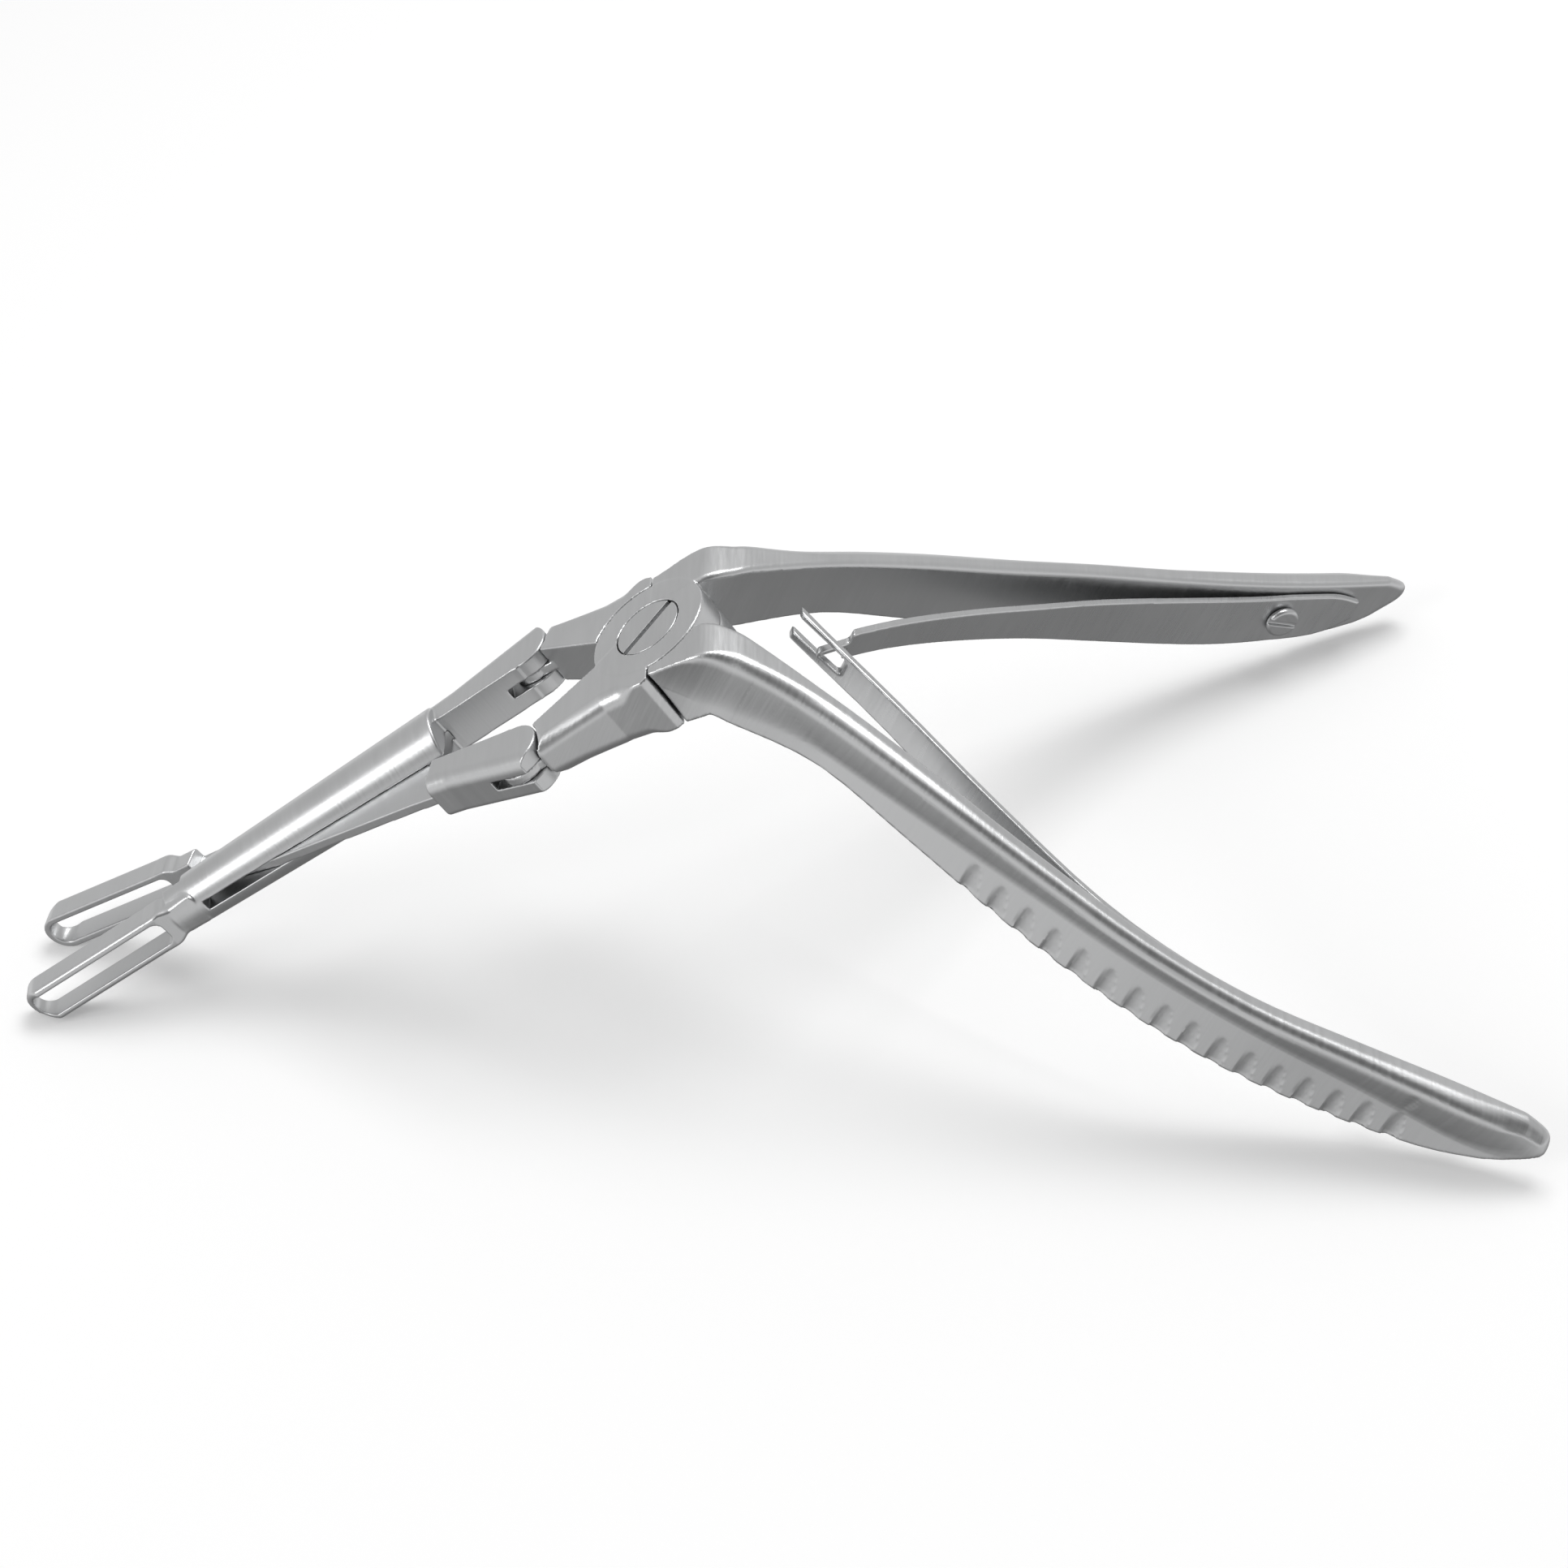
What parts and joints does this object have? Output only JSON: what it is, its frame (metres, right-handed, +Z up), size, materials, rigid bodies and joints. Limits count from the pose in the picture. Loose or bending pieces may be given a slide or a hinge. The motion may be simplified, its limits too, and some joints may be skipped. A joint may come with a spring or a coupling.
{
  "type": "double-action forceps pliers",
  "caption": "Hand pliers with bent grips crossed at a lap joint, forked levers that drive narrow looped jaws, and interlocking leaf springs that hold them open.",
  "frame": {"origin": "on the pivot axis, at the flat underside of the round lap joint", "axes": "+X from the jaws towards the handle ends, +Y towards the far handle, +Z up as the tool stands on its jaw tips and handle ends; the pivot leans 27.2 degrees back from +Z towards -X"},
  "size_m": [0.1981, 0.1182, 0.0564],
  "materials": {
    "handle_steel": "satin ground",
    "lever_steel": "satin ground",
    "spring_steel": "satin ground",
    "fastener_steel": "finely brushed"
  },
  "bodies": {
    "far_handle": {"far_handle": "handle_steel", "far_spring_screw": "fastener_steel"},
    "near_handle": {"near_handle": "handle_steel", "pivot_screw": "fastener_steel", "near_spring_screw": "fastener_steel"},
    "bottom_lever": {"bottom_jaw_lever": "lever_steel", "near_link_pin": "fastener_steel"},
    "top_lever": {"top_jaw_lever": "lever_steel", "box_pin": "fastener_steel", "far_link_pin": "fastener_steel"},
    "far_spring": {"far_spring": "spring_steel"},
    "near_spring": {"near_spring": "spring_steel"}
  },
  "joints": [
    {"name": "handle_close", "type": "hinge", "parent": "far_handle", "child": "near_handle", "pos_m": [0, 0, 0], "axis": [-0.4571, 0, 0.8894], "range_deg": [0, 30.52], "stiffness_Nm_per_rad": 2, "springref_deg": -20.05},
    {"name": "near_link", "type": "hinge", "parent": "far_handle", "child": "bottom_lever", "pos_m": [-0.02107, -0.0103, -0.00448], "axis": [-0.4571, 0, 0.8894], "range_deg": [0, 23.28]},
    {"name": "box_pivot", "type": "hinge", "parent": "bottom_lever", "child": "top_lever", "pos_m": [-0.05773, 0, -0.02331], "axis": [-0.4571, 0, 0.8894], "range_deg": [-16.02, 0]},
    {"name": "far_spring_flex", "type": "hinge", "parent": "far_handle", "child": "far_spring", "pos_m": [0.08183, 0.04691, -0.03518], "axis": [0.4664, 0, 0.8846], "range_deg": [-3.5, 0]},
    {"name": "near_spring_flex", "type": "hinge", "parent": "near_handle", "child": "near_spring", "pos_m": [0.08183, -0.04691, -0.03518], "axis": [0.4664, 0, 0.8846], "range_deg": [0, 3.5]}
  ],
  "couplings": [
    {"joint": "near_link", "follows": "handle_close", "ratio": 0.7621},
    {"joint": "box_pivot", "follows": "handle_close", "ratio": -0.5242},
    {"joint": "far_spring_flex", "follows": "handle_close", "ratio": -0.1139},
    {"joint": "near_spring_flex", "follows": "handle_close", "ratio": 0.1139}
  ]
}
